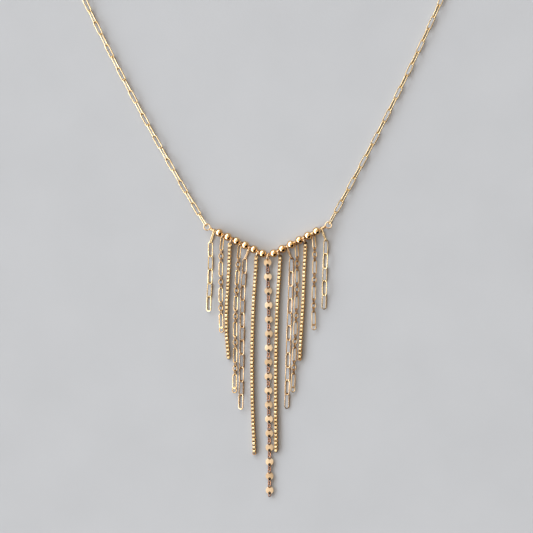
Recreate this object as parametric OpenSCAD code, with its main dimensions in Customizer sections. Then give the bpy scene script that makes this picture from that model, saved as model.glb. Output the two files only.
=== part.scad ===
// Fringe necklace, laid flat: a bar of beads bent to a V, thirteen strands and a neck chain.
// X runs to the right as seen from above, Y towards the clasp, Z up from the surface.
// The origin is on the surface, at the middle of the opening that the neck goes through.

/* [Bar] */
// Diameter of a bead
bead_d = 3; // [2.8:0.1:3]
// Centre distance of two beads on one arm
bead_pitch = 3.66; // [3.6:0.02:3.8]
// Distance of each arm's first bead from the point of the V
first_bead = 2.35; // [2.3:0.05:2.5]
// Wire that carries the beads
bar_wire_d = 0.5; // [0.4:0.05:0.5]
// Hole drilled through a bead
bead_hole_d = 0.9; // [0.8:0.05:1]
// Slope of each arm of the V
bar_slope = 26.4; // [24:0.2:28]
// Bare wire beyond the last bead, where the outer strands hang
end_gap = 1.05; // [1.05:0.05:1.2]
// Outer diameter of the loop at each end of the bar wire
eye_d = 2.9; // [2.8:0.1:3.1]
// Turn of the bar and the neck chain on the surface, against the strands
loop_turn = 0.9; // [-2:0.1:2]

/* [Neck chain] */
// Wire of a neck link
neck_wire_d = 0.4; // [0.35:0.05:0.45]
// Outer width of a neck link
neck_link_w = 2; // [1.9:0.1:2.2]
// Links on each side, from the bar to the clasp
neck_links = 41; // [41:2:43]
// Length of the nearly straight stretch on each side
side_length = 96.7; // [90:0.1:100]
// Angle off the Y axis at which each side leaves the bar
side_lean_low = 30.5; // [28:0.5:33]
// Angle off the Y axis at which each side meets the arch
side_lean_high = 24.5; // [23:0.5:27]
// Place on its ellipse at which the arch starts, below the widest point
arch_start = 16.7; // [14:0.1:20]
// Tilt of the steep links about the chain's own line
steep_tilt = 54; // [50:1:60]
// Tilt of the flat links about the chain's own line
flat_tilt = -20; // [-25:1:-15]

/* [Clasp] */
// Outer diameter of the clasp's ring
clasp_d = 5.6; // [5:0.1:6]
// Wire of the clasp's ring
clasp_wire_d = 0.8; // [0.7:0.05:0.9]
// Outer diameter of the small eye beside it
clasp_eye_d = 2.2; // [2.1:0.1:2.4]
// Wire of the small eye
clasp_eye_wire_d = 0.5; // [0.4:0.05:0.5]
// Tilt of the clasp, where it leans on the links that it holds
clasp_tilt = -10; // [-12:1:0]

/* [Paperclip strands] */
// Wire of a strand link
clip_wire_d = 0.4; // [0.35:0.05:0.4]
// Outer width of a strand link
clip_w = 2.3; // [2.2:0.1:2.4]
// Distance from one link to the next
clip_pitch = 5.15; // [5:0.05:5.3]
// Tilt of the links, by turns to either side
clip_tilt = 36; // [34:1:40]

/* [Coin strand] */
// Diameter of a coin
coin_d = 3.1; // [3:0.05:3.2]
// Thickness of a coin
coin_t = 0.25; // [0.2:0.01:0.25]
// Distance from one link between two coins to the next
coin_link_pitch = 0.934; // [0.92:0.002:0.96]
// Hole near each edge of a coin
coin_hole_d = 0.8; // [0.75:0.05:0.8]
// Distance of each hole from the coin's centre
coin_hole_at = 1; // [0.98:0.01:1]
// Wire of a link between two coins
coin_wire_d = 0.25; // [0.2:0.01:0.25]
// Outer width of a link between two coins
coin_link_w = 1.15; // [1.1:0.05:1.2]
// Largest sideways tilt of a coin
coin_tilt = 9; // [0:1:10]
// Tilts of the links between two coins, about the strand's own line
coin_link_tilts = [82, 5, -82];

/* [Fine chains] */
// Width of the box chain
box_w = 1.2; // [1:0.1:1.3]
// Width of the long-and-short chain
mixed_w = 1.9; // [1.7:0.1:2]
// Outer diameter of the jump rings that hold the box chains and the coins
ring_d = 3.1; // [3:0.05:3.2]
// Wire of those jump rings
ring_wire_d = 0.45; // [0.4:0.05:0.45]
// Outer diameter of the small rings that hold the long-and-short chains
small_ring_d = 2.3; // [2.3:0.05:2.4]
// Wire of those small rings
small_ring_wire_d = 0.35; // [0.3:0.01:0.35]

/* [Hidden] */
$fn = 32;
// Middle of the neck opening, from the point of the V
point = [0, -98, 0];
// Clear distance between links that hold each other
link_gap = 0.16;
// The same between a chain and the loop or the clasp that holds it
eye_gap = 0.3;
// The same in the coin strand, where thin rims turn in small links
coin_gap = 0.2;
// Each loop's wire, a touch thicker than the stem so that the stem ends inside it
eye_wire_d = bar_wire_d + 0.04;
// Turns of wire round the stem of each loop: their number, spacing, wire, how deep they
// press into the stem and how far they stay from the loop
eye_wraps = 3;
wrap_pitch = 0.41;
wrap_wire_d = 0.38;
wrap_press = 0.04;
wrap_clear = 0.1;
// Bend at the point of the V
bar_bend_r = 1.4;
beads_per_arm = 6;
// How far below the bar's line the rings of each kind of strand have their middle
coin_drop = 0.35;
mixed_drop = 0.24;
box_drop = 0.65;
// How far a tube starts beyond the ring that holds its chain, and above its place at rest
tube_clear = 0.25;
tube_lift = 0.3;
// Sides of a tube, and the length of each of its sections in widths
tube_sides = 8;
tube_section = 2.5;
// Tilt of a paperclip strand's first link, nearly on edge between the beads
first_tilt = 78;
// Stretch over which a strand comes down to the surface
strand_drop = 6;
// Tilt of the neck links that hold the bar's loop and the clasp
end_tilt = 65;
// How much higher than the rest the second neck link starts
neck_lift = 0.1;
// Clear height of the coin strand's links over the surface
coin_lift = 0.03;
// The ring passes through the first coin this many degrees below its own middle
grip = 18;
// Step in degrees that spreads the coins' small tilts
coin_step = 137;

// Each strand's kind, its links or its length, the lean of its first link or ring off the
// Y axis, and how far its line has wandered along X at each quarter of its length
KIND = 0;
EXTENT = 1;
LEAN = 2;
WANDER = 3;
strands = [
    ["clip", 6, -17, [0, 0, -0.1, -0.5, -0.7]],
    ["mixed", 36.1, -24, [0, -0.3, -0.3, -0.3, 0]],
    ["box", 44, -22, [0, -0.4, -1.1, -1.2, -0.4]],
    ["mixed", 55.9, -26, [0, -0.8, -1.4, -1.4, -1.7]],
    ["clip", 12, -21, [0, -0.9, -1.1, -1.3, -1.6]],
    ["box", 75.1, -18, [0, -1.1, -1.6, -1.4, -0.7]],
    ["coin", 17, -9, [0, 0.5, 0.3, 0.7, 0.8]],
    ["box", 74.9, 20, [0, -1.1, -1.6, -1.7, -1.6]],
    ["clip", 12, 23, [0, -0.4, -1, -1.4, -1.8]],
    ["mixed", 56, 30, [0, -0.1, -0.5, -1.1, -1.7]],
    ["box", 44.5, 16, [0, -0.5, -0.9, -1.6, -2.2]],
    ["mixed", 35.7, 30, [0, 0.1, -0.1, -0.3, -0.2]],
    ["clip", 6, 22, [0, -0.2, -0.5, -0.6, -0.8]],
];

// The bar lies with its beads on the surface
bar_z = bead_d / 2;
bead_count = 2 * beads_per_arm;
last_bead = first_bead + (beads_per_arm - 1) * bead_pitch;
wrap_start = last_bead + bead_d / 2 + end_gap;
eye_r = (eye_d - eye_wire_d) / 2;
eye_at = wrap_start + eye_wraps * wrap_pitch + wrap_clear + eye_r;
neck_z = (neck_link_w - neck_wire_d) / 2 * sin(end_tilt) + neck_wire_d / 2;
clip_z = (clip_w - clip_wire_d) / 2 * sin(clip_tilt) + clip_wire_d / 2;
clip_first_z = (clip_w - clip_wire_d) / 2 * sin(first_tilt) + clip_wire_d / 2;
coin_z = coin_link_w / 2 + coin_lift;
clasp_r = (clasp_d - clasp_wire_d) / 2;
clasp_eye_r = (clasp_eye_d - clasp_eye_wire_d) / 2;
clasp_reach = clasp_r - (clasp_wire_d + eye_gap) / 2;
clasp_eye_reach = clasp_eye_r - (clasp_eye_wire_d + eye_gap) / 2;
clasp_span = clasp_reach + clasp_r + clasp_eye_r + clasp_eye_reach;
coin_span = 2 * (coin_hole_at + coin_hole_d / 2) - coin_gap;
coin_links = len(coin_link_tilts);
coin_link_length = coin_link_pitch + 2 * coin_wire_d + coin_gap;

function two_digits(i) = str(i < 10 ? "0" : "", i);
function bead_name(i) = str("bead_", two_digits(i));
function strand_name(i) = str("strand_", two_digits(i));

// Turned about the point of the V and moved to its place
function on_loop(v) = point + [
    v.x * cos(loop_turn) - v.y * sin(loop_turn),
    v.x * sin(loop_turn) + v.y * cos(loop_turn),
    v.z
];
// A point of the bar wire's centre line; side is -1 or 1, at 0 it is the point of the V
function on_arm(side, at) = on_loop([side * at * cos(bar_slope), at * sin(bar_slope), bar_z]);
function bead_side(i) = i <= beads_per_arm ? -1 : 1;
function bead_at(i) = first_bead
    + bead_pitch * (i <= beads_per_arm ? beads_per_arm - i : i - beads_per_arm - 1);

// One side of the neck chain, right half: a wide arc, then a quarter of an ellipse and more
side_r = side_length / ((side_lean_low - side_lean_high) * PI / 180);
side_foot = [eye_at * cos(bar_slope), eye_at * sin(bar_slope)];
side_top = side_foot + side_r * [
    cos(side_lean_high) - cos(side_lean_low),
    sin(side_lean_low) - sin(side_lean_high)
];
arch_a = side_top.x / cos(arch_start);
arch_b = arch_a * tan(arch_start) / tan(side_lean_high);
arch_y = side_top.y + arch_b * sin(arch_start);
neck_line = concat(
    [for (lean = [side_lean_low:-0.5:side_lean_high])
        side_foot + side_r * [cos(lean) - cos(side_lean_low), sin(side_lean_low) - sin(lean)]],
    [for (i = [1:60]) let (a = -arch_start + (90 + arch_start) * i / 60)
        [arch_a * cos(a), arch_y + arch_b * sin(a)]]
);
neck_marks = [
    for (i = 0, s = 0; i < len(neck_line);
        s = s + (i + 1 < len(neck_line) ? norm(neck_line[i + 1] - neck_line[i]) : 0), i = i + 1) s
];
neck_start = eye_r - (eye_wire_d + eye_gap) / 2;
neck_end = neck_marks[len(neck_marks) - 1] - clasp_span / 2;
neck_pitch = (neck_end - neck_start) / neck_links;
neck_link_length = neck_pitch + 2 * neck_wire_d + link_gap;
function neck_height(s) = lookup(
    s, [[0, bar_z], [neck_pitch, neck_z + neck_lift], [2 * neck_pitch, neck_z]]
);
function on_neck(side, s) = on_loop([
    side * lookup(s, [for (i = [0:len(neck_line) - 1]) [neck_marks[i], neck_line[i].x]]),
    lookup(s, [for (i = [0:len(neck_line) - 1]) [neck_marks[i], neck_line[i].y]]),
    neck_height(s)
]);

// Smooth curve through equally spaced values, t from 0 to 1
function curve(v, t) = let (
    n = len(v) - 1,
    i = min(floor(t * n), n - 1),
    u = t * n - i,
    a = v[max(i - 1, 0)],
    b = v[i],
    c = v[i + 1],
    d = v[min(i + 2, n)]
) b + u * (c - a + u * (2 * a - 5 * b + 4 * c - d + u * (3 * b - a - 3 * c + d))) / 2;

// Gap of the bar that strand i hangs in, counted from the point of the V
middle = (len(strands) + 1) / 2;
function gap_side(i) = sign(i - middle);
function gap_at(i) = let (n = abs(i - middle))
    n == 0 ? 0
    : n < beads_per_arm ? first_bead + (n - 0.5) * bead_pitch
    : last_bead + (bead_d + end_gap) / 2;
// The bend cuts the corner of the V, so the wire is a little higher there
corner = bar_bend_r * (1 / cos(bar_slope) - 1);
function gap_point(i) = on_arm(gap_side(i), gap_at(i)) + (i == middle ? [0, corner, 0] : [0, 0, 0]);
function lean_way(i) = [sin(strands[i - 1][LEAN]), -cos(strands[i - 1][LEAN]), 0];

// How far each kind's ring sits below the bar's line, and that ring's size
function is_small(i) = strands[i - 1][KIND] == "mixed";
function hold_d(i) = is_small(i) ? small_ring_d : ring_d;
function hold_wire_d(i) = is_small(i) ? small_ring_wire_d : ring_wire_d;
function hold_drop(i) = i == middle ? coin_drop : is_small(i) ? mixed_drop : box_drop;
function hold_centre(i) = let (g = gap_point(i) + hold_drop(i) * lean_way(i))
    [g.x, g.y, hold_d(i) / 2];

// Line of strand i below its first link or ring; s runs down from start
function strand_point(i, start, length, rest_z, s) = [
    start.x + curve(strands[i - 1][WANDER], min(1, s / length)),
    start.y - s,
    max(rest_z, start.z + (rest_z - start.z) * s / strand_drop)
];

module link(length, width, wire) {
    r = (width - wire) / 2;
    // In whole thousandths, so that the straights and the round ends meet exactly
    half = round((length - width) * 500) / 1000;
    for (end = [0, 1])
        mirror([0, end, 0])
            translate([0, half, 0])
                rotate_extrude(angle = 180)
                    translate([r, 0])
                        circle(d = wire, $fn = 16);
    for (side = [-1, 1])
        translate([side * r, -half, 0])
            rotate([-90, 0, 0])
                cylinder(h = 2 * half, d = wire, $fn = 16);
}

module ring(outer, wire)
    rotate_extrude()
        translate([(outer - wire) / 2, 0])
            circle(d = wire, $fn = 16);

// Puts its child midway between two points, with its Y axis along them and turned about it
module between(p, q, tilt) {
    way = q - p;
    translate((p + q) / 2)
        rotate([0, 0, atan2(way.y, way.x) - 90])
            rotate([asin(way.z / norm(way)), 0, 0])
                rotate([0, tilt, 0])
                    children();
}

// Round wire swept along a line of points that runs mostly along Y
module tube(line, d) {
    n = len(line);
    function side_at(i) = let (
        way = line[min(i + 1, n - 1)] - line[max(i - 1, 0)],
        across = cross(way, [0, 0, 1])
    ) across / norm(across);
    function up_at(i) = let (
        way = line[min(i + 1, n - 1)] - line[max(i - 1, 0)],
        up = cross(side_at(i), way)
    ) up / norm(up);
    points = [
        for (i = [0:n - 1], k = [0:tube_sides - 1]) let (a = 360 * (k + 0.5) / tube_sides)
            line[i] + d / 2 * (cos(a) * side_at(i) + sin(a) * up_at(i))
    ];
    walls = [
        for (i = [0:n - 2], k = [0:tube_sides - 1]) let (next = (k + 1) % tube_sides)
            [
                i * tube_sides + k,
                i * tube_sides + next,
                (i + 1) * tube_sides + next,
                (i + 1) * tube_sides + k
            ]
    ];
    caps = [
        [for (k = [0:tube_sides - 1]) tube_sides - 1 - k],
        [for (k = [0:tube_sides - 1]) (n - 1) * tube_sides + k]
    ];
    polyhedron(points = points, faces = concat(walls, caps));
}

// One half of the bar wire, from the middle of the bend, with the point of the V at the origin
module arm() {
    straight_from = bar_bend_r * tan(bar_slope);
    stem_end = eye_at - eye_r;
    rotate([0, 0, bar_slope]) {
        translate([straight_from, bar_bend_r, 0])
            rotate([0, 0, -90])
                mirror([0, 1, 0])
                    rotate_extrude(angle = bar_slope)
                        translate([bar_bend_r, 0])
                            circle(d = bar_wire_d, $fn = 16);
        translate([straight_from, 0, 0])
            rotate([0, 90, 0])
                cylinder(h = stem_end - straight_from, d = bar_wire_d, $fn = 16);
        translate([eye_at, 0, 0])
            ring(eye_d, eye_wire_d);
        for (turn = [0:eye_wraps - 1])
            translate([wrap_start + (turn + 0.5) * wrap_pitch, 0, 0])
                rotate([0, 90, 0])
                    ring(bar_wire_d + 2 * (wrap_wire_d - wrap_press), wrap_wire_d);
    }
}

module bar_wire()
    color("goldenrod")
        translate(on_arm(0, 0))
            rotate([0, 0, loop_turn])
                for (side = [0, 1])
                    mirror([side, 0, 0])
                        arm();

module bead(i)
    color("gold")
        translate(on_arm(bead_side(i), bead_at(i)))
            rotate([0, 0, loop_turn + bead_side(i) * bar_slope])
                rotate([0, 90, 0])
                    difference() {
                        sphere(d = bead_d);
                        cylinder(h = bead_d + 1, d = bead_hole_d, center = true);
                    }

module neck_chain(side)
    color("khaki")
        for (k = [0:neck_links - 1]) {
            at_end = k == 0 || k == neck_links - 1;
            tilt = at_end ? end_tilt : k % 2 == 0 ? steep_tilt : flat_tilt;
            between(
                on_neck(side, neck_start + k * neck_pitch),
                on_neck(side, neck_start + (k + 1) * neck_pitch),
                -side * tilt
            )
                link(neck_link_length, neck_link_w, neck_wire_d);
        }

module clasp() {
    ring_x = clasp_span / 2 - clasp_reach;
    color("goldenrod")
        translate(on_loop([0, arch_y + arch_b, neck_z]))
            rotate([0, 0, loop_turn])
                rotate([clasp_tilt, 0, 0]) {
                    translate([ring_x, 0, 0])
                        ring(clasp_d, clasp_wire_d);
                    translate([ring_x - clasp_r - clasp_eye_r, 0, 0])
                        ring(clasp_eye_d, clasp_eye_wire_d);
                }
}

module hold_ring(i)
    translate(hold_centre(i))
        rotate([0, 0, strands[i - 1][LEAN]])
            rotate([0, 90, 0])
                ring(hold_d(i), hold_wire_d(i));

module clip_strand(i) {
    count = strands[i - 1][EXTENT];
    length = (count - 1) * clip_pitch;
    top = gap_point(i) - lean_way(i) * (bar_wire_d + link_gap) / 2;
    fall = bar_z - clip_first_z;
    knee = top + lean_way(i) * sqrt(clip_pitch * clip_pitch - fall * fall) - [0, 0, fall];
    between(top, knee, first_tilt * gap_side(i))
        link(clip_pitch + 2 * clip_wire_d + link_gap, clip_w, clip_wire_d);
    for (k = [1:count - 1])
        between(
            strand_point(i, knee, length, clip_z, (k - 1) * clip_pitch),
            strand_point(i, knee, length, clip_z, k * clip_pitch),
            clip_tilt * gap_side(i) * (k % 2 == 0 ? 1 : -1)
        )
            link(clip_pitch + 2 * clip_wire_d + link_gap, clip_w, clip_wire_d);
}

module coin()
    difference() {
        cylinder(h = coin_t, d = coin_d, center = true);
        for (end = [-1, 1])
            translate([0, end * coin_hole_at, 0])
                cylinder(h = coin_t + 1, d = coin_hole_d, center = true, $fn = 24);
    }

module coin_strand(i) {
    count = strands[i - 1][EXTENT];
    ring_r = (ring_d - ring_wire_d) / 2;
    hold = hold_centre(i) + ring_r * cos(grip) * lean_way(i) - [0, 0, ring_r * sin(grip)];
    top = hold + [0, (ring_wire_d + coin_gap) / 2, 0];
    each_pitch = coin_span + coin_links * coin_link_pitch;
    length = count * each_pitch;
    hold_ring(i);
    for (c = [0:count - 1]) {
        s = c * each_pitch;
        between(
            strand_point(i, top, length, coin_z, s),
            strand_point(i, top, length, coin_z, s + coin_span),
            coin_tilt * sin(coin_step * c)
        )
            coin();
        for (k = [0:(c == count - 1 ? 0 : coin_links - 1)]) {
            from = s + coin_span + k * coin_link_pitch;
            between(
                strand_point(i, top, length, coin_z, from),
                strand_point(i, top, length, coin_z, from + coin_link_pitch),
                coin_link_tilts[k]
            )
                link(coin_link_length, coin_link_w, coin_wire_d);
        }
    }
}

module tube_strand(i) {
    length = strands[i - 1][EXTENT];
    width = is_small(i) ? mixed_w : box_w;
    centre = hold_centre(i);
    start = centre + lean_way(i) * (hold_d(i) / 2 + tube_clear)
        + [0, 0, width / 2 + tube_lift - centre.z];
    sections = ceil(length / (tube_section * width));
    hold_ring(i);
    tube(
        [for (k = [0:sections]) strand_point(i, start, length, width / 2, length * k / sections)],
        width
    );
}

module strand(i) {
    kind = strands[i - 1][KIND];
    color(kind == "box" ? "gold" : kind == "coin" ? "tan" : "khaki") {
        if (kind == "clip") clip_strand(i);
        if (kind == "coin") coin_strand(i);
        if (kind == "box" || kind == "mixed") tube_strand(i);
    }
}

bar_wire();
for (i = [1:bead_count]) bead(i);
for (i = [1:len(strands)]) strand(i);
neck_chain(-1);  // neck_chain_left
neck_chain(1);  // neck_chain_right
clasp();
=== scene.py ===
import math
import random

import bmesh
import bpy
import numpy as np
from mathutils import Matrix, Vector


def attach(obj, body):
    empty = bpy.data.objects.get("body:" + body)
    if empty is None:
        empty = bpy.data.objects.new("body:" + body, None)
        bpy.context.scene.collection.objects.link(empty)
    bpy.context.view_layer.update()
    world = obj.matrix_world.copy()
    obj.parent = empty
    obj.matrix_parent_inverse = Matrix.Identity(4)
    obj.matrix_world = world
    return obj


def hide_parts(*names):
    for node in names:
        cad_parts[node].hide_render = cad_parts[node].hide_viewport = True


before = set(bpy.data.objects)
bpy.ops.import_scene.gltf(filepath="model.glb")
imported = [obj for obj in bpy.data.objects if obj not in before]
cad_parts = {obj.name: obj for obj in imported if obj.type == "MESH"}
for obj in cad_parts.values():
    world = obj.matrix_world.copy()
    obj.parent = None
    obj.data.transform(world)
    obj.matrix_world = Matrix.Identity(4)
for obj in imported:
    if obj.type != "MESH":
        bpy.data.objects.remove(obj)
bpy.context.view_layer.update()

# The view
# The necklace is laid flat and seen from straight above, through a long lens, so that nothing leans
# outwards at the edges of the picture.
view_middle = (-0.65, -101.9)
view_width = 202.5
view_height = 900
sensor = 36
camera = bpy.data.objects.new("camera", bpy.data.cameras.new("camera"))
camera.location = (view_middle[0] / 1000, view_middle[1] / 1000, view_height / 1000)
camera.data.sensor_width = sensor
camera.data.lens = sensor * view_height / view_width
bpy.context.scene.collection.objects.link(camera)
bpy.context.scene.camera = camera
bpy.context.scene.view_settings.view_transform = "Standard"


# The surface under the necklace
# A plain pale grey board with a dull, faintly mottled face. It only carries the necklace and its
# shadows, and is no part of it.
class Reading:
    """A socket of a finish or a pattern; arithmetic on it adds Math nodes."""

    def __init__(self, bench, socket):
        self.bench = bench
        self.socket = socket

    def worked(self, operation, first, second=0.0):
        return self.bench.node("ShaderNodeMath", {"operation": operation}, {0: first, 1: second})

    def __add__(self, other):
        return self.worked("ADD", self, other)

    def __sub__(self, other):
        return self.worked("SUBTRACT", self, other)

    def __rsub__(self, other):
        return self.worked("SUBTRACT", other, self)

    def __mul__(self, other):
        return self.worked("MULTIPLY", self, other)

    def __truediv__(self, other):
        return self.worked("DIVIDE", self, other)

    def __rtruediv__(self, other):
        return self.worked("DIVIDE", other, self)

    def __pow__(self, other):
        return self.worked("POWER", self, other)

    def cosine(self):
        return self.worked("COSINE", self)

    def sign(self):
        return self.worked("SIGN", self)

    __radd__ = __add__
    __rmul__ = __mul__


class Bench:
    """A node tree with one way to add a node: its type, its settings, and what its sockets take.
    A socket that joins several things takes a list of them."""

    def __init__(self, tree):
        self.tree = tree
        tree.nodes.clear()

    def node(self, kind, settings=None, inputs=None, output=0):
        made = self.tree.nodes.new(kind)
        for name, value in (settings or {}).items():
            if name == "stops":
                ramp = made.color_ramp.elements
                while len(ramp) < len(value):
                    ramp.new(0.5)
                for stop, (place, colour) in zip(ramp, value):
                    stop.position = place
                    stop.color = colour
            else:
                setattr(made, name, value)
        for name, given in (inputs or {}).items():
            for value in given if isinstance(given, list) else [given]:
                if isinstance(value, Reading):
                    self.tree.links.new(value.socket, made.inputs[name])
                else:
                    made.inputs[name].default_value = value
        return Reading(self, made.outputs[output] if made.outputs else None)

    def dot(self, first, second):
        """The dot product of two vectors, which is the cosine between two of length 1."""
        return self.node(
            "ShaderNodeVectorMath", {"operation": "DOT_PRODUCT"}, {0: first, 1: second}, output="Value"
        )


class Finish(Bench):
    """A material made on a bench."""

    def __init__(self, name):
        self.material = bpy.data.materials.new(name)
        self.material.use_nodes = True
        super().__init__(self.material.node_tree)
        self.place = self.node("ShaderNodeTexCoord", output="Object")

    def grain(self, scale, detail=2.0, stretch=(1, 1, 1)):
        """Noise in object space, with this many lumps to the metre."""
        place = self.node("ShaderNodeMapping", {}, {"Vector": self.place, "Scale": stretch})
        return self.node("ShaderNodeTexNoise", {}, {"Vector": place, "Scale": scale, "Detail": detail})

    def blend(self, share, first, second):
        """Mixes two colours, each a reading or its red, green and blue."""
        first, second = ((*colour, 1) if isinstance(colour, tuple) else colour for colour in (first, second))
        return self.node("ShaderNodeMix", {"data_type": "RGBA"}, {0: share, 6: first, 7: second}, output=2)

    def ramp(self, share, low, high):
        """0 up to low and 1 from high on."""
        stops = [(low, (0, 0, 0, 1)), (high, (1, 1, 1, 1))]
        return self.node("ShaderNodeValToRGB", {"stops": stops}, {0: share})

    def dents(self, relief, strength, depth):
        return self.node("ShaderNodeBump", {}, {"Strength": strength, "Distance": depth, "Height": relief})

    def done(self, **sockets):
        """Sets the shader's sockets, whose names have _ for a space, and closes the material."""
        values = {name.replace("_", " "): value for name, value in sockets.items()}
        shader = self.node("ShaderNodeBsdfPrincipled", {}, values)
        self.node("ShaderNodeOutputMaterial", {}, {"Surface": shader})
        return self.material


board_side = 8000
board_pale = (0.425, 0.425, 0.427)
board_dim = (0.41, 0.41, 0.412)
board_rough = 0.75
board = Finish("pale_board")
mottle = board.ramp(board.grain(scale=38, detail=5), low=0.35, high=0.7)
fibre = board.grain(scale=900, detail=3)
board_finish = board.done(
    Base_Color=board.blend(mottle, board_pale, board_dim),
    Roughness=fibre * 0.1 + board_rough,
    Normal=board.dents(fibre, strength=0.12, depth=0.0002),
)
half_side = board_side / 2000
board_mesh = bpy.data.meshes.new("board")
board_mesh.from_pydata(
    [(x * half_side, y * half_side, 0) for x, y in ((-1, -1), (1, -1), (1, 1), (-1, 1))],
    [],
    [(0, 1, 2, 3)],
)
board_mesh.materials.append(board_finish)
board_object = bpy.data.objects.new("board", board_mesh)
bpy.context.scene.collection.objects.link(board_object)


# The light
# A long bright curtain stands low on the left, with a white panel in front of it, and throws the short
# soft shadows to the right. The rest of the room is pale, dimmer low on the right, and all but black
# at the stand that is mirrored in the lower right of every bead.
panel_way = Vector((-0.97, 0.24, 0))
panel_away = 1.2
panel_beside_y = -0.1
panel_size = (3.0, 0.85)
panel_low = 0.27
panel_radiance = 1.2
day_colour = (0.9, 1.02, 1.16, 1)
day_strength = 6.2
wall_colour = (1, 0.84, 0.68, 1)
wall_strength = 0.3
overhead_strength = 0.6
far_left_strength = 0.26
stand_shade = 0.99
low_right_shade = 0.5
panel_light = bpy.data.lights.new("panel", "AREA")
panel_light.shape = "RECTANGLE"
panel_light.size, panel_light.size_y = panel_size
panel_light.energy = panel_radiance * math.pi * panel_size[0] * panel_size[1]
panel = bpy.data.objects.new("panel", panel_light)
panel.location = Vector((0, panel_beside_y, panel_low + panel_size[1] / 2)) + panel_way * panel_away
panel.rotation_euler = (-panel_way).to_track_quat("-Z", "Z").to_euler()
panel.visible_camera = False
bpy.context.scene.collection.objects.link(panel)

room = bpy.data.worlds.new("room")
room.use_nodes = True
room_bench = Bench(room.node_tree)
looking = room_bench.node("ShaderNodeTexCoord", output="Generated")


def swell(value, start, full):
    """0 up to the start and 1 from full on, with a smooth rise between."""
    return room_bench.node(
        "ShaderNodeMapRange",
        {"interpolation_type": "SMOOTHSTEP"},
        {"Value": value, "From Min": start, "From Max": full},
    )


def within(axis, start, full):
    """The part of the room near an axis: 0 at the start angle, 1 at the full one."""
    return swell(room_bench.dot(looking, axis), math.cos(math.radians(start)), math.cos(math.radians(full)))


# Height is 0 at the horizon and 1 overhead, and compass is the level way of looking
height = room_bench.dot(looking, (0, 0, 1))
level = room_bench.node("ShaderNodeVectorMath", {"operation": "MULTIPLY"}, {0: looking, 1: (1, 1, 0)})
compass = room_bench.node("ShaderNodeVectorMath", {"operation": "NORMALIZE"}, {0: level})
curtain_band = swell(height, start=0.12, full=0.26) * (1 - swell(height, start=0.54, full=0.66))
curtain = curtain_band * swell(room_bench.dot(compass, panel_way), start=0.1, full=0.5)
overhead = within((-0.12, 0.08, 0.99), start=40, full=20)
far_left = within((-0.5, 0.62, 0.6), start=95, full=45)
stand = within((0.47, -0.62, 0.63), start=41, full=34)
right = swell(room_bench.dot(compass, (0.9, -0.43, 0)), start=-0.1, full=0.7)
low_right = right * (1 - swell(height, start=0.25, full=0.75))
bare_walls = far_left * far_left_strength + overhead * overhead_strength + wall_strength
pale_room = bare_walls * (1 - stand * stand_shade) * (1 - low_right * low_right_shade)
walls = room_bench.node("ShaderNodeBackground", {}, {"Color": wall_colour, "Strength": pale_room})
day = room_bench.node("ShaderNodeBackground", {}, {"Color": day_colour, "Strength": curtain * day_strength})
whole_room = room_bench.node("ShaderNodeAddShader", {}, {0: walls, 1: day})
room_bench.node("ShaderNodeOutputWorld", {}, {"Surface": whole_room})
bpy.context.scene.world = room


# The bar wire
# A half millimetre gold-filled wire, bent to a shallow V. Each end is turned to a closed loop and
# wrapped three times round its own stem, so that the beads and the loops stay where they are.
bar_wire_d = 0.5
bar_shown_d = 0.44
bar_slope = 26.4
bar_bend_r = 1.4
wire_sides = 12
bend_points = 7
stem_points = 12
eye_points = 33
wrap_points = 12
bead_d = 3.0
bead_pitch = 3.66
first_bead = 2.35
beads_per_arm = 6
end_gap = 1.05
eye_d = 2.9
eye_wire_d = 0.54
eye_wraps = 3
wrap_pitch = 0.41
wrap_clear = 0.1
wrap_reach = 0.42
stem_short = 0.35
eye_rise = 0.2
loop_turn = math.radians(0.9)
edge_bend = math.radians(55)
# Colours of painted shade: the deeper gold of a crevice in shade, then a dull brown for deep shade
crevice_shade_gold = (0.5, 0.27, 0.09)
shade_brown = (0.014, 0.006, 0.002)
# The gold's own tint at grazing angles, and the sheen of the painted-shade brown
rim_tint = (0.5, 0.32, 0.18, 1)
shade_sheen = 0.08
point_y = -98.0
bar_z = bead_d / 2
last_bead = first_bead + (beads_per_arm - 1) * bead_pitch
wrap_start = last_bead + bead_d / 2 + end_gap
eye_r = (eye_d - eye_wire_d) / 2
eye_at = wrap_start + eye_wraps * wrap_pitch + wrap_clear + eye_r


def gold(name, pale, warm, polish, rubbed=0.06, shade_painted=False):
    """Gold-filled brass: pale gold that clouds to a warmer tone, with fine rubbing marks. Where painted
    shade is marked, it first turns to the deeper gold of a crevice in shade, and then to a dull brown that
    no longer shines as metal."""
    metal = Finish(name)
    cloud = metal.ramp(metal.grain(scale=420, detail=3), low=0.38, high=0.66)
    rubs = metal.grain(scale=2600, detail=2, stretch=(1, 0.25, 1))
    colour = metal.blend(cloud, pale, warm)
    roughness = rubs * 0.08 + cloud * 0.05 + polish
    shine = 1.0
    if shade_painted:
        tarnish = metal.node("ShaderNodeAttribute", {"attribute_name": "tarnish"}, output="Fac")
        dead = metal.ramp(tarnish, low=0.5, high=1.0)
        colour = metal.blend(metal.ramp(tarnish, low=0.0, high=0.5), colour, crevice_shade_gold)
        colour = metal.blend(dead, colour, shade_brown)
        roughness = roughness + dead * 0.4
        shine = 1 - dead
    return metal.done(
        Base_Color=colour,
        Metallic=shine,
        Roughness=roughness,
        Specular_IOR_Level=shade_sheen,
        Specular_Tint=rim_tint,
        Normal=metal.dents(rubs, strength=rubbed, depth=0.00002),
    )


def on_loop(x, y, z):
    """From the point of the V, in millimetres: turned with the loop and moved to its place."""
    return np.array([
        x * math.cos(loop_turn) - y * math.sin(loop_turn),
        point_y + x * math.sin(loop_turn) + y * math.cos(loop_turn),
        z,
    ])


def on_arm(side, along, across=0.0, up=0.0):
    """A point by an arm of the bar: so far along it from the point of the V, beside it and above it."""
    slope = math.radians(bar_slope)
    return on_loop(
        side * (along * math.cos(slope) - across * math.sin(slope)),
        along * math.sin(slope) + across * math.cos(slope),
        bar_z + up,
    )


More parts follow.
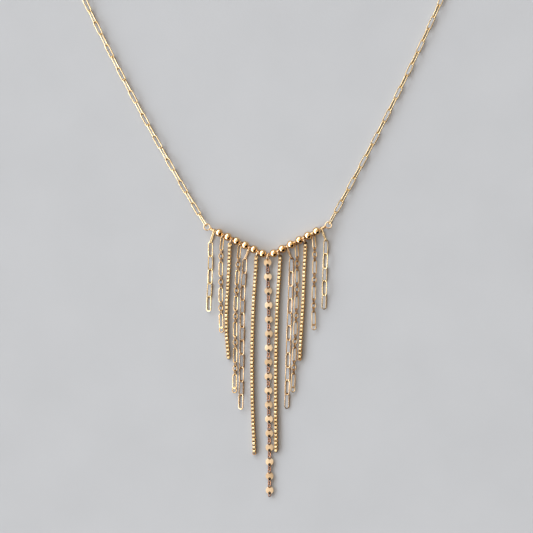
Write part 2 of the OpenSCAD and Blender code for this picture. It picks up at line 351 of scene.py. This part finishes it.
def measured(size):
    """A size as a pattern takes it: millimetres in metres, and a count as it is."""
    return size if isinstance(size, int) else size / 1000


class Pattern(Bench):
    """Geometry nodes that make a piece from the line it follows. Its sizes are named inputs."""

    def __init__(self, name, **sizes):
        super().__init__(bpy.data.node_groups.new(name, "GeometryNodeTree"))
        sockets = {"Line": "NodeSocketGeometry", "Finish": "NodeSocketMaterial"}
        for label, size in sizes.items():
            sockets[label] = "NodeSocketInt" if isinstance(size, int) else "NodeSocketFloat"
        self.keys = {}
        for label, kind in sockets.items():
            socket = self.tree.interface.new_socket(label, in_out="INPUT", socket_type=kind)
            self.keys[label] = socket.identifier
            if label in sizes:
                socket.default_value = measured(sizes[label])
        self.tree.interface.new_socket("Piece", in_out="OUTPUT", socket_type="NodeSocketGeometry")

    def size(self, label):
        """What is given for this input, which may also be the line or the finish."""
        return self.node("NodeGroupInput", output=label)

    def vector(self, **parts):
        return self.node("ShaderNodeCombineXYZ", {}, parts)

    def part_of(self, vector, axis):
        return self.node("ShaderNodeSeparateXYZ", {}, {0: vector}, output=axis)

    def circle(self, sides, radius):
        return self.node(
            "GeometryNodeCurvePrimitiveCircle", {"mode": "RADIUS"}, {"Resolution": sides, "Radius": radius}
        )

    def rectangle(self, width, height):
        return self.node(
            "GeometryNodeCurvePrimitiveQuadrilateral",
            {"mode": "RECTANGLE"},
            {"Width": width, "Height": height},
        )

    def rounded(self, curve, radius, count):
        return self.node(
            "GeometryNodeFilletCurve",
            {"mode": "POLY"},
            {"Curve": curve, "Radius": radius, "Count": count, "Limit Radius": True},
        )

    def swept(self, path, section, caps=False):
        return self.node(
            "GeometryNodeCurveToMesh", {}, {"Curve": path, "Profile Curve": section, "Fill Caps": caps}
        )

    def shade_painted(self, part, amount):
        """Writes on each face how much painted shade it gets."""
        return self.node(
            "GeometryNodeStoreNamedAttribute",
            {"data_type": "FLOAT", "domain": "FACE"},
            {"Geometry": part, "Name": "tarnish", "Value": amount},
        )

    def finished(self, piece):
        """Every pattern ends alike: real meshes, shaded softly but for their edges, with one finish."""
        real = self.node("GeometryNodeRealizeInstances", {}, {"Geometry": piece})
        soft = self.node("GeometryNodeSetShadeSmooth", {}, {"Geometry": real, "Shade Smooth": True})
        bend = self.node("GeometryNodeInputMeshEdgeAngle")
        sharp = bend.worked("GREATER_THAN", bend, edge_bend)
        edged = self.node(
            "GeometryNodeSetShadeSmooth",
            {"domain": "EDGE"},
            {"Geometry": soft, "Selection": sharp, "Shade Smooth": False},
        )
        clad = self.node("GeometryNodeSetMaterial", {}, {"Geometry": edged, "Material": self.size("Finish")})
        self.node("NodeGroupOutput", {}, {"Piece": clad})

    def make(self, name, points, edges, finish, tilts=None, **sizes):
        """Runs the pattern on a line of points and keeps the result as a plain mesh. Points and sizes
        are in millimetres, and tilts, one for each edge, in degrees."""
        line = bpy.data.meshes.new(name)
        line.from_pydata([tuple(point / 1000) for point in points], edges, [])
        if tilts is not None:
            on_edges = line.attributes.new("tilt", "FLOAT", "EDGE")
            on_edges.data.foreach_set("value", np.radians(tilts))
        piece = bpy.data.objects.new(name, line)
        bpy.context.scene.collection.objects.link(piece)
        modifier = piece.modifiers.new("pattern", "NODES")
        modifier.node_group = self.tree
        modifier[self.keys["Finish"]] = finish
        for label, size in sizes.items():
            modifier[self.keys[label]] = measured(size)
        depsgraph = bpy.context.evaluated_depsgraph_get()
        mesh = bpy.data.meshes.new_from_object(piece.evaluated_get(depsgraph), depsgraph=depsgraph)
        piece.modifiers.clear()
        piece.data = mesh
        mesh.name = name
        return piece


def in_turn(count):
    """The edges that join a row of points, one to the next."""
    return [(k, k + 1) for k in range(count - 1)]


drawn_wire = Pattern("drawn_wire", Wire=bar_shown_d, Sides=wire_sides)
rod = drawn_wire.node("GeometryNodeMeshToCurve", {}, {"Mesh": drawn_wire.size("Line")})
round_section = drawn_wire.circle(drawn_wire.size("Sides"), drawn_wire.size("Wire") / 2)
drawn_wire.finished(drawn_wire.swept(rod, round_section, caps=True))


def bar_half(side):
    """Centre line of one half, from the middle of the bend to the end of its wrapping."""
    slope = math.radians(bar_slope)
    line = [
        on_loop(
            side * bar_bend_r * math.sin(a),
            bar_bend_r / math.cos(slope) - bar_bend_r * math.cos(a),
            bar_z,
        )
        for a in np.linspace(0, slope, bend_points)
    ]
    stem_start = bar_bend_r * math.tan(slope)
    stem_end = eye_at - eye_r - stem_short
    line += [on_arm(side, at) for at in np.linspace(stem_start, stem_end, stem_points)[1:]]
    # Round the loop, which rises a little on its way back to the stem
    for a in np.linspace(0, 1, eye_points)[1:]:
        turn = math.pi * (2 * a - 1)
        line.append(on_arm(side, eye_at + eye_r * math.cos(turn), eye_r * math.sin(turn), eye_rise * a))
    # Round the stem, back towards the last bead
    for a in np.linspace(0, 1, wrap_points * eye_wraps + 1)[2:]:
        turn = 2 * math.pi * eye_wraps * a
        line.append(
            on_arm(
                side,
                eye_at - eye_r - wrap_clear - eye_wraps * wrap_pitch * a,
                wrap_reach * math.sin(turn),
                wrap_reach * math.cos(turn),
            )
        )
    return line


wire_gold = gold("wire_gold", (0.93, 0.70, 0.42), (0.84, 0.56, 0.29), 0.16)
bar_line = bar_half(-1)[:0:-1] + bar_half(1)
bar_wire = drawn_wire.make(
    "bar_wire_drawn",
    bar_line,
    in_turn(len(bar_line)),
    wire_gold,
    Wire=bar_shown_d,
    Sides=wire_sides,
)
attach(bar_wire, "root")
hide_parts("bar_wire")


# The beads
# Twelve seamless round beads, 3 mm across, drilled through and polished to a mirror. They slide on
# the bar wire, six on each arm, and the strands hang in the gaps between them.
bead_hole_d = 0.9
bead_sides = 48
bead_rings = 29
rim_soft = 0.06
bead_gold = gold("bead_gold", (0.98, 0.68, 0.36), (0.92, 0.57, 0.26), 0.04, 0.02)


def bead_section():
    """Half section of a drilled bead: the ball, its softened rims and the wall of the hole."""
    ball = bead_d / 2
    hole = bead_hole_d / 2
    reach = math.asin((hole + rim_soft) / ball)
    angles = np.linspace(reach, math.pi - reach, bead_rings)
    outside = [(ball * math.sin(a), ball * math.cos(a)) for a in angles]
    end = ball * math.cos(reach)
    wall = [(hole, -end + rim_soft), (hole, end - rim_soft)]
    return outside + wall


def turned(section, count, place):
    """A closed half section turned about an axis; place puts (radius, angle, along) in space."""
    points = [
        place(radius, 2 * math.pi * k / count, along)
        for k in range(count)
        for radius, along in section
    ]
    n = len(section)
    faces = [
        (k * n + i, k * n + (i + 1) % n, (k + 1) % count * n + (i + 1) % n, (k + 1) % count * n + i)
        for k in range(count)
        for i in range(n)
    ]
    return points, faces


def outwards(mesh):
    """Points a closed mesh's faces outwards and shades it softly."""
    work = bmesh.new()
    work.from_mesh(mesh)
    bmesh.ops.recalc_face_normals(work, faces=work.faces)
    work.to_mesh(mesh)
    work.free()
    mesh.shade_smooth()


for number in range(1, 2 * beads_per_arm + 1):
    side = -1 if number <= beads_per_arm else 1
    steps = beads_per_arm - number if side < 0 else number - beads_per_arm - 1
    along_arm = first_bead + bead_pitch * steps
    points, faces = turned(
        bead_section(),
        bead_sides,
        lambda radius, angle, along: tuple(
            on_arm(side, along_arm + along, radius * math.cos(angle), radius * math.sin(angle)) / 1000
        ),
    )
    name = f"bead_{number:02d}"
    mesh = bpy.data.meshes.new(f"{name}_polished")
    mesh.from_pydata(points, [], faces)
    mesh.materials.append(bead_gold)
    outwards(mesh)
    bead = bpy.data.objects.new(f"{name}_polished", mesh)
    bpy.context.scene.collection.objects.link(bead)
    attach(bead, "root")
    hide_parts(name)


# The neck chain
# Soldered paperclip links of 0.4 mm wire, each turned against the next. On either side forty-one of
# them run from the bar's loop up to the clasp, which closes the chain to an 18 inch loop.
neck_wire_d = 0.4
neck_link_w = 2.0
neck_shown_w = 1.92
neck_links = 41
side_length = 96.7
side_lean_low = math.radians(30.5)
side_lean_high = math.radians(24.5)
arch_start = math.radians(16.7)
side_points = 13
arch_points = 61
steep_tilt = 54
flat_tilt = -20
end_tilt = 65
link_gap = 0.16
eye_gap = 0.3
neck_lift = 0.1
clasp_d = 5.6
clasp_wire_d = 0.8
clasp_eye_d = 2.2
clasp_eye_wire_d = 0.5
link_corners = 16

# The wire is pressed nearly square: its corner radius and its half diagonal, in widths of the wire
pressed_corner = 0.3
pressed_reach = 0.583

# A link is a ring whose two halves are pulled apart by its straights
wire_links = Pattern("wire_links", Length=5.0, Width=neck_shown_w, Wire=neck_wire_d, Corners=link_corners)
link_wire = wire_links.size("Wire")
link_w = wire_links.size("Width")
corners = wire_links.size("Corners")
half_step = math.pi / corners
ring_curve = wire_links.circle(corners, (link_w - link_wire) / 2 / half_step.cosine())
turned_ring = wire_links.node(
    "GeometryNodeTransform", {}, {"Geometry": ring_curve, "Rotation": wire_links.vector(Z=half_step)}
)
along_link = wire_links.part_of(wire_links.node("GeometryNodeInputPosition"), "Y")
pull = along_link.sign() * (wire_links.size("Length") - link_w) / 2
link_curve = wire_links.node(
    "GeometryNodeSetPosition", {}, {"Geometry": turned_ring, "Offset": wire_links.vector(Y=pull)}
)
square_wire = wire_links.rectangle(link_wire, link_wire)
pressed_wire = wire_links.rounded(square_wire, link_wire * pressed_corner, count=2)
link_body = wire_links.swept(link_curve, pressed_wire)


def strung(pattern, part):
    """One part on each edge of the line: its Y axis along the edge, turned about it by its tilt."""
    near_end = pattern.node("GeometryNodeInputMeshEdgeVertices", output="Position 1")
    far_end = pattern.node("GeometryNodeInputMeshEdgeVertices", output="Position 2")
    way = pattern.node("ShaderNodeVectorMath", {"operation": "SUBTRACT"}, {0: far_end, 1: near_end})
    frame_of = pattern.node(
        "FunctionNodeAxesToRotation",
        {"primary_axis": "Y", "secondary_axis": "Z"},
        {"Primary Axis": way, "Secondary Axis": (0, 0, 1)},
    )
    tilt = pattern.node("GeometryNodeInputNamedAttribute", {"data_type": "FLOAT"}, {"Name": "tilt"})
    about = pattern.node("FunctionNodeAxisAngleToRotation", {}, {"Axis": (0, 1, 0), "Angle": tilt})
    placed = pattern.node(
        "FunctionNodeRotateRotation", {"rotation_space": "LOCAL"}, {"Rotation": frame_of, "Rotate By": about}
    )
    kept = pattern.node(
        "GeometryNodeStoreNamedAttribute",
        {"data_type": "QUATERNION", "domain": "EDGE"},
        {"Geometry": pattern.size("Line"), "Name": "placed", "Value": placed},
    )
    spots = pattern.node("GeometryNodeMeshToPoints", {"mode": "EDGES"}, {"Mesh": kept})
    turn = pattern.node("GeometryNodeInputNamedAttribute", {"data_type": "QUATERNION"}, {"Name": "placed"})
    return pattern.node(
        "GeometryNodeInstanceOnPoints", {}, {"Points": spots, "Instance": part, "Rotation": turn}
    )


wire_links.finished(strung(wire_links, link_body))


def neck_side():
    """One side's line, right half, in millimetres from the point of the V."""
    slope = math.radians(bar_slope)
    lean = np.linspace(side_lean_low, side_lean_high, side_points)
    side_r = side_length / (side_lean_low - side_lean_high)
    side = np.column_stack([
        eye_at * math.cos(slope) + side_r * (np.cos(lean) - math.cos(side_lean_low)),
        eye_at * math.sin(slope) + side_r * (math.sin(side_lean_low) - np.sin(lean)),
    ])
    arch_a = side[-1, 0] / math.cos(arch_start)
    arch_b = arch_a * math.tan(arch_start) / math.tan(side_lean_high)
    arch_y = side[-1, 1] + arch_b * math.sin(arch_start)
    a = np.linspace(-arch_start, math.pi / 2, arch_points)[1:]
    arch = np.column_stack([arch_a * np.cos(a), arch_y + arch_b * np.sin(a)])
    return np.vstack([side, arch])


neck_line = neck_side()
neck_marks = np.concatenate([[0], np.cumsum(np.linalg.norm(np.diff(neck_line, axis=0), axis=1))])
clasp_r = (clasp_d - clasp_wire_d) / 2
clasp_eye_r = (clasp_eye_d - clasp_eye_wire_d) / 2
clasp_reach = clasp_r - (clasp_wire_d + eye_gap) / 2
clasp_span = clasp_reach + clasp_r + clasp_eye_r + clasp_eye_r - (clasp_eye_wire_d + eye_gap) / 2
neck_start = eye_r - (eye_wire_d + eye_gap) / 2
neck_pitch = (neck_marks[-1] - clasp_span / 2 - neck_start) / neck_links
neck_z = (neck_link_w - neck_wire_d) / 2 * math.sin(math.radians(end_tilt)) + neck_wire_d * pressed_reach


def on_neck(side, s):
    return on_loop(
        side * np.interp(s, neck_marks, neck_line[:, 0]),
        np.interp(s, neck_marks, neck_line[:, 1]),
        np.interp(s, [0, neck_pitch, 2 * neck_pitch], [bar_z, neck_z + neck_lift, neck_z]),
    )


neck_gold = gold("neck_gold", (0.88, 0.68, 0.39), (0.72, 0.51, 0.25), 0.2)
tilts = [end_tilt] + [flat_tilt if k % 2 else steep_tilt for k in range(1, neck_links - 1)] + [end_tilt]
for side, node in ((-1, "neck_chain_left"), (1, "neck_chain_right")):
    chain = wire_links.make(
        f"{node}_links",
        [on_neck(side, neck_start + k * neck_pitch) for k in range(neck_links + 1)],
        in_turn(neck_links + 1),
        neck_gold,
        [-side * tilt for tilt in tilts],
        Length=neck_pitch + 2 * neck_wire_d + link_gap,
        Width=neck_shown_w,
        Wire=neck_wire_d,
        Corners=link_corners,
    )
    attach(chain, "root")
    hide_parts(node)


# The clasp
# Out of the photo's view: one plain ring of thicker wire, with a small eye soldered beside it. Each
# side of the neck chain ends in one of the two.
clasp_tilt = math.radians(-10)
clasp_points = 48
clasp_sides = 16


def clasp_circle(middle_x, radius):
    return [
        on_loop(
            middle_x + radius * math.cos(a),
            neck_line[-1, 1] + radius * math.sin(a) * math.cos(clasp_tilt),
            neck_z + radius * math.sin(a) * math.sin(clasp_tilt),
        )
        for a in np.linspace(0, 2 * math.pi, clasp_points, endpoint=False)
    ]


clasp_x = clasp_span / 2 - clasp_reach
round_and_back = in_turn(clasp_points) + [(clasp_points - 1, 0)]
for part, middle_x, radius, wire in (
    ("ring", clasp_x, clasp_r, clasp_wire_d),
    ("eye", clasp_x - clasp_r - clasp_eye_r, clasp_eye_r, clasp_eye_wire_d),
):
    points = clasp_circle(middle_x, radius)
    piece = drawn_wire.make(
        f"clasp_{part}", points, round_and_back, wire_gold, Wire=wire, Sides=clasp_sides
    )
    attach(piece, "root")
    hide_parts("clasp")


# The paperclip strands
# The same kind of chain as at the neck, a little wider. The first link hangs nearly on edge over the
# bar wire, and the others lie tilted to one side and the other in turn.
clip_wire_d = 0.4
clip_w = 2.3
clip_pitch = 5.15
clip_tilt = 36
clip_first_tilt = 78
strand_drop = 6.0
clip_r = (clip_w - clip_wire_d) / 2
clip_z = clip_r * math.sin(math.radians(clip_tilt)) + clip_wire_d * pressed_reach
clip_first_z = clip_r * math.sin(math.radians(clip_first_tilt)) + clip_wire_d * pressed_reach

# Place from the middle, number of links, lean of the first link, drift at each quarter of the length
clip_strands = {
    "strand_01": (-6, 6, -17, (0, 0, -0.1, -0.5, -0.7)),
    "strand_05": (-2, 12, -21, (0, -0.9, -1.1, -1.3, -1.6)),
    "strand_09": (2, 12, 23, (0, -0.4, -1, -1.4, -1.8)),
    "strand_13": (6, 6, 22, (0, -0.2, -0.5, -0.6, -0.8)),
}


def gap_point(place):
    """The spot on the bar wire from which a strand hangs; place counts gaps from the middle."""
    away = abs(place)
    if away == 0:
        return on_arm(1, 0) + [0, bar_bend_r * (1 / math.cos(math.radians(bar_slope)) - 1), 0]
    if away < beads_per_arm:
        return on_arm(np.sign(place), first_bead + (away - 0.5) * bead_pitch)
    return on_arm(np.sign(place), last_bead + (bead_d + end_gap) / 2)


def lean_way(lean):
    """The level way down a strand that leans this many degrees to the right."""
    return np.array([math.sin(math.radians(lean)), -math.cos(math.radians(lean)), 0])


def drifted(drift, t):
    """Smooth curve through a strand's drift, given at each quarter of its length."""
    n = len(drift) - 1
    t = min(max(t, 0), 1)
    i = min(int(t * n), n - 1)
    u = t * n - i
    a, b, c, d = drift[max(i - 1, 0)], drift[i], drift[i + 1], drift[min(i + 2, n)]
    return b + u * (c - a + u * (2 * a - 5 * b + 4 * c - d + u * (3 * b - a - 3 * c + d))) / 2


def down_strand(start, drift, length, rest_z, s):
    """A point of a strand's line; it comes down to the surface over its first millimetres."""
    return np.array([
        start[0] + drifted(drift, s / length),
        start[1] - s,
        max(rest_z, start[2] + (rest_z - start[2]) * s / strand_drop),
    ])


# The fringe strands get darker copies of the neck chain's gold: painted shade, deepest on the two middle
# strands, where the fringe is crowded
clip_gold = gold("clip_gold", (0.76, 0.57, 0.32), (0.60, 0.41, 0.19), 0.2)
chain_gold = gold("chain_gold", (0.68, 0.47, 0.27), (0.48, 0.29, 0.14), 0.2)
for node, (place, count, lean, drift) in clip_strands.items():
    side = np.sign(place)
    top = gap_point(place) - lean_way(lean) * (bar_wire_d + link_gap) / 2
    fall = bar_z - clip_first_z
    knee = top + lean_way(lean) * math.sqrt(clip_pitch**2 - fall**2) - [0, 0, fall]
    length = (count - 1) * clip_pitch
    joints = [top] + [down_strand(knee, drift, length, clip_z, k * clip_pitch) for k in range(count)]
    tilts = [clip_first_tilt] + [clip_tilt if k % 2 == 0 else -clip_tilt for k in range(1, count)]
    strand = wire_links.make(
        f"{node}_links",
        joints,
        in_turn(count + 1),
        clip_gold if abs(place) == beads_per_arm else chain_gold,
        [side * tilt for tilt in tilts],
        Length=clip_pitch + 2 * clip_wire_d + link_gap,
        Width=clip_w,
        Wire=clip_wire_d,
        Corners=link_corners,
    )
    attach(strand, "root")
    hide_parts(node)


# The box chain strands
# Fine box chain: each link is a short square band, turned a quarter round against its neighbours
# and passed through them. It hangs from a jump ring that stands on edge over the bar wire.
box_w = 1.2
box_sizes = {"Length": 1.24, "Width": 1.34, "Band": 0.82, "Thickness": 0.25, "Corner": 0.3}
box_roll = 10
box_shake = 5
box_lift = 0.16
box_head = 0.3
box_pitch = 0.73
# How much painted shade gathers at the links' bends, along their edges and on their sides
bend_shade = 1.4
edge_shade = 0.45
side_shade = 0.34
ring_d = 3.1
ring_wire_d = 0.45
box_drop = 0.65
tube_clear = 0.25
tube_lift = 0.3
ring_cut = 7
ring_cut_at = 100
ring_points = 41
ring_tilt = 13
ring_grip = 15

# Place from the middle, length, lean of the jump ring, drift at each quarter of the length
box_strands = {
    "strand_03": (-4, 44, -22, (0, -0.4, -1.1, -1.2, -0.4)),
    "strand_06": (-1, 75.1, -18, (0, -1.1, -1.6, -1.4, -0.7)),
    "strand_08": (1, 74.9, 20, (0, -1.1, -1.6, -1.7, -1.6)),
    "strand_11": (4, 44.5, 16, (0, -0.5, -0.9, -1.6, -2.2)),
}

box_links = Pattern("box_links", **box_sizes)
thickness = box_links.size("Thickness")
square = box_links.rectangle(box_links.size("Width") - thickness, box_links.size("Length") - thickness)
strip = box_links.rectangle(thickness, box_links.size("Band"))
band = box_links.swept(box_links.rounded(square, box_links.size("Corner"), count=3), strip)

# Painted shade fills the inside of each band, and gathers at its bends and along its edges, where the links
# shade each other
face_way = box_links.node("GeometryNodeInputNormal")
outward = box_links.dot(face_way, box_links.node("GeometryNodeInputPosition"))
inside = outward.worked("LESS_THAN", outward, -0.00001)
along_strand = box_links.part_of(face_way, "Y")
across_band = box_links.part_of(face_way, "Z")
shade_amount = inside + along_strand * along_strand * bend_shade + across_band * across_band * edge_shade
box_chain = strung(box_links, box_links.shade_painted(band, shade_amount))

# More painted shade darkens the chain's sides, so that its top stands out brighter
real_chain = box_links.node("GeometryNodeRealizeInstances", {}, {"Geometry": box_chain})
sideways = box_links.part_of(box_links.node("GeometryNodeInputNormal"), "X")
so_far = box_links.node("GeometryNodeInputNamedAttribute", {"data_type": "FLOAT"}, {"Name": "tarnish"})
box_links.finished(box_links.shade_painted(real_chain, so_far + sideways * sideways * side_shade))


def jump_ring(node, centre, lean, outer, wire):
    """A round ring on edge, in line with its strand's lean, with its saw cut near the top."""
    radius = (outer - wire) / 2
    half_cut = math.radians(ring_cut) / 2
    angles = np.linspace(half_cut, 2 * math.pi - half_cut, ring_points) + math.radians(ring_cut_at)
    tilt = math.radians(ring_tilt)
    left = lean_way(lean - 90)
    upright = math.cos(tilt) * np.array([0, 0, 1]) + math.sin(tilt) * left
    points = [centre + radius * (math.cos(a) * lean_way(lean) + math.sin(a) * upright) for a in angles]
    ring = drawn_wire.make(
        f"{node}_ring", points, in_turn(ring_points), wire_gold, Wire=wire, Sides=wire_sides
    )
    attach(ring, "root")
    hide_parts(node)


def from_ring(place, lean, drop, outer, wire, drift, length, width):
    """The ring's middle, a function that gives the strand's line from the ring's wire down, and how
    much of that line leads from the wire to where the strand's own length starts."""
    centre = gap_point(place) + drop * lean_way(lean)
    centre[2] = outer / 2
    start = centre + lean_way(lean) * (outer / 2 + tube_clear)
    start[2] = width / 2 + tube_lift
    radius = (outer - wire) / 2
    low = math.radians(ring_grip)
    held = centre + radius * (math.cos(low) * lean_way(lean) - np.array([0, 0, math.sin(low)]))
    lead = np.linalg.norm(start - held)

    def line(s):
        if s < lead:
            return held + (start - held) * s / lead
        return down_strand(start, drift, length, width / 2, s - lead)

    return centre, line, lead


# A paler, brighter copy of the gold: painted highlight on the box links' tops, which also carries the
# painted shade written on the links
box_gold = gold("box_gold", (1.0, 0.88, 0.56), (1.0, 0.77, 0.42), 0.2, shade_painted=True)
shake = random.Random(11)
for node, (place, length, lean, drift) in box_strands.items():
    centre, line, lead = from_ring(place, lean, box_drop, ring_d, ring_wire_d, drift, length, box_w)
    jump_ring(node, centre, lean, ring_d, ring_wire_d)
    spare = (box_sizes["Length"] - box_pitch) / 2
    count = int((lead + length - 2 * spare) / box_pitch)
    joints = [line(spare - box_head + k * box_pitch) + [0, 0, box_lift] for k in range(count + 1)]
    tilts = [90 * (k % 2) + box_roll + shake.uniform(-box_shake, box_shake) for k in range(count)]
    strand = box_links.make(f"{node}_links", joints, in_turn(count + 1), box_gold, tilts, **box_sizes)
    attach(strand, "root")
    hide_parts(node)


# The long-and-short strands
# One long oval link, then three small round ones, over and over, in finer wire than the paperclip
# chain. Each strand hangs from a small jump ring, and ends in a single small link.
mixed_w = 1.9
mixed_wire_d = 0.35
small_ring_d = 2.3
small_ring_wire_d = 0.35
mixed_drop = 0.24
mixed_first_tilt = 45

# Pitch, play in the joints, tilt and corners of each kind of link
mixed_links = {
    "long": (5.05, 0.12, 30, 16),
    "edge": (1.6, 0.08, -72, 14),
    "round": (1.6, 0.08, 14, 14),
}

# Place from the middle, repeats, length, lean of the jump ring, drift at each quarter of the length
mixed_strands = {
    "strand_02": (-5, 3, 36.1, -24, (0, -0.3, -0.3, -0.3, 0)),
    "strand_04": (-3, 5, 55.9, -26, (0, -0.8, -1.4, -1.4, -1.7)),
    "strand_10": (3, 5, 56, 30, (0, -0.1, -0.5, -1.1, -1.7)),
    "strand_12": (5, 3, 35.7, 30, (0, 0.1, -0.1, -0.3, -0.2)),
}

# Painted shade and painted light: the small links that stand on edge get a darker copy of the gold, and the
# strands on the right, which are turned away from the light, a paler and rougher copy
edge_gold = gold("edge_gold", (0.42, 0.25, 0.12), (0.22, 0.12, 0.05), 0.24)
mixed_gold = gold("mixed_gold", (0.78, 0.54, 0.27), (0.55, 0.33, 0.13), 0.2)
far_gold = gold("far_gold", (0.95, 0.68, 0.36), (0.75, 0.48, 0.21), 0.27)
for node, (place, repeats, length, lean, drift) in mixed_strands.items():
    centre, line, lead = from_ring(
        place, lean, mixed_drop, small_ring_d, small_ring_wire_d, drift, length, mixed_w
    )
    jump_ring(node, centre, lean, small_ring_d, small_ring_wire_d)
    kinds = ["long", "edge", "round", "edge"] * repeats + ["long", "round"]
    marks = np.concatenate([[0], np.cumsum([mixed_links[kind][0] for kind in kinds])])
    marks = marks * length / marks[-1] - (small_ring_wire_d + link_gap) / 2
    joints = [line(mark) for mark in marks]
    tilts = [-np.sign(place) * mixed_links[kind][2] for kind in kinds]
    tilts[0] = -np.sign(place) * mixed_first_tilt
    flat_gold = mixed_gold if place < 0 else far_gold
    for part, (pitch, play, _, bends) in mixed_links.items():
        chosen = [k for k, kind in enumerate(kinds) if kind == part]
        strand = wire_links.make(
            f"{node}_{part}_links",
            joints,
            [(k, k + 1) for k in chosen],
            edge_gold if part == "edge" else flat_gold,
            [tilts[k] for k in chosen],
            Length=pitch + 2 * mixed_wire_d + play,
            Width=mixed_w,
            Wire=mixed_wire_d,
            Corners=bends,
        )
        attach(strand, "root")
        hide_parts(node)


# The coin strand
# Seventeen small round coins, drilled near both edges and dished very slightly, each joined to the
# next by three tiny links. The first is held by a jump ring at the point of the V.
coins = 17
coin_sizes = {
    "Diameter": 2.96,
    "Thickness": 0.25,
    "LowHole": 0.86,
    "LowAt": 1.0,
    "HighHole": 0.5,
    "HighAt": 1.12,
    "Dish": 0.09,
    "Lip": 0.44,
}
coin_sides = 36
hole_sides = 16
lip_sides = 8
lip_inset = 0.15
coin_rise = 0.4
coin_wire_d = 0.32
coin_link_w = 1.42
coin_link_corners = 12
coin_link_pitch = 0.934
coin_link_tilts = (-42, 36, -24)
end_links = 1
coin_gap = 0.2
coin_link_slack = 0.06
coin_tilt = 4
coin_step = 137
coin_lift = 0.03
coin_drop = 0.35
coin_lean = -9
coin_drift = (0, 0.5, 0.3, 0.7, 0.8)
coin_grip = math.radians(18)

# The coins stand as far apart as the solids do, which have two holes of one size
coin_hole_d = 0.8
coin_hole_at = 1.0

coin_discs = Pattern("coin_discs", **coin_sizes)
low_at = coin_discs.size("LowAt")
low_hole = coin_discs.size("LowHole")


def coin_outline(at_y, diameter, sides):
    circle = coin_discs.circle(sides, diameter / 2)
    return coin_discs.node(
        "GeometryNodeTransform", {}, {"Geometry": circle, "Translation": coin_discs.vector(Y=at_y)}
    )


def joined(parts):
    return coin_discs.node("GeometryNodeJoinGeometry", {}, {"Geometry": parts})


def moved_up(part, rise):
    """Moves each point up by its own rise."""
    return coin_discs.node(
        "GeometryNodeSetPosition", {}, {"Geometry": part, "Offset": coin_discs.vector(Z=rise)}
    )


rim = coin_outline(0.0, coin_discs.size("Diameter"), coin_sides)
low_edge = coin_outline(low_at, low_hole, hole_sides)
high_edge = coin_outline(0 - coin_discs.size("HighAt"), coin_discs.size("HighHole"), hole_sides)
blank = coin_discs.node("GeometryNodeFillCurve", {}, {"Curve": joined([rim, low_edge, high_edge])})
fine_blank = coin_discs.node("GeometryNodeSubdivideMesh", {}, {"Mesh": blank, "Level": 2})
spot = coin_discs.node("GeometryNodeInputPosition")
from_middle = coin_discs.node("ShaderNodeVectorMath", {"operation": "LENGTH"}, {0: spot}, output="Value")
share_out = from_middle / (coin_discs.size("Diameter") / 2)
dished = moved_up(fine_blank, (1 - share_out**2.0) * coin_discs.size("Dish"))
raised = coin_discs.node(
    "GeometryNodeExtrudeMesh",
    {"mode": "FACES"},
    {
        "Mesh": dished,
        "Offset": coin_discs.vector(Z=1.0),
        "Offset Scale": coin_discs.size("Thickness"),
        "Individual": False,
    },
)
under = coin_discs.node("GeometryNodeFlipFaces", {}, {"Mesh": dished})
whole_coin = coin_discs.node(
    "GeometryNodeMergeByDistance", {}, {"Geometry": joined([raised, under]), "Distance": 0.000001}
)
centred = moved_up(whole_coin, coin_discs.size("Thickness") * -0.5)

# The lower hole has a rounded lip painted all dark: painted shade, standing for the deep shadow seen down
# the hole
lip_path = coin_outline(low_at, low_hole - coin_discs.size("Lip") * lip_inset, hole_sides)
lip_section = coin_discs.circle(lip_sides, coin_discs.size("Lip") / 2)
shade_lip = coin_discs.shade_painted(coin_discs.swept(lip_path, lip_section), 1.0)
coin_discs.finished(strung(coin_discs, joined([centred, shade_lip])))

coin_gold = gold("coin_gold", (0.82, 0.67, 0.47), (0.71, 0.54, 0.35), 0.28, shade_painted=True)
# The tiny links get a rosy tone, darkened with painted shade for the tightly packed links
rose_gold = gold("rose_gold", (0.48, 0.25, 0.14), (0.28, 0.13, 0.07), 0.2)
coin_span = 2 * (coin_hole_at + coin_hole_d / 2) - coin_gap
coin_z = coin_link_w / 2 + coin_lift
centre = gap_point(0) + coin_drop * lean_way(coin_lean)
centre[2] = ring_d / 2
ring_reach = (ring_d - ring_wire_d) / 2
low_on_ring = math.cos(coin_grip) * lean_way(coin_lean) - np.array([0, 0, math.sin(coin_grip)])
hold = centre + ring_reach * low_on_ring
top = hold + [0, (ring_wire_d + coin_gap) / 2, 0]
each_pitch = coin_span + len(coin_link_tilts) * coin_link_pitch
whole_length = coins * each_pitch
jump_ring("strand_07", centre, coin_lean, ring_d, ring_wire_d)
joints = []
coin_joints = []
coin_edges = []
link_edges = []
coin_tilts = []
link_tilts = []
for c in range(coins):
    start = c * each_pitch
    marks = [start] + [start + coin_span + k * coin_link_pitch for k in range(len(coin_link_tilts) + 1)]
    first = len(joints)
    joints += [down_strand(top, coin_drift, whole_length, coin_z, mark) for mark in marks]
    # Each coin leans a little towards the clasp, its lower edge off the surface
    coin_joints += [joints[first] - [0, 0, coin_rise], joints[first + 1] + [0, 0, coin_rise]]
    coin_edges.append((2 * c, 2 * c + 1))
    coin_tilts.append(coin_tilt * math.sin(math.radians(coin_step * c)))
    for k in range(end_links if c == coins - 1 else len(coin_link_tilts)):
        link_edges.append((first + 1 + k, first + 2 + k))
        link_tilts.append(coin_link_tilts[k])
discs = coin_discs.make("strand_07_coins", coin_joints, coin_edges, coin_gold, coin_tilts, **coin_sizes)
links = wire_links.make(
    "strand_07_links",
    joints,
    link_edges,
    rose_gold,
    link_tilts,
    Length=coin_link_pitch + 2 * coin_wire_d + coin_link_slack,
    Width=coin_link_w,
    Wire=coin_wire_d,
    Corners=coin_link_corners,
)
for piece in (discs, links):
    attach(piece, "root")
    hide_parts("strand_07")
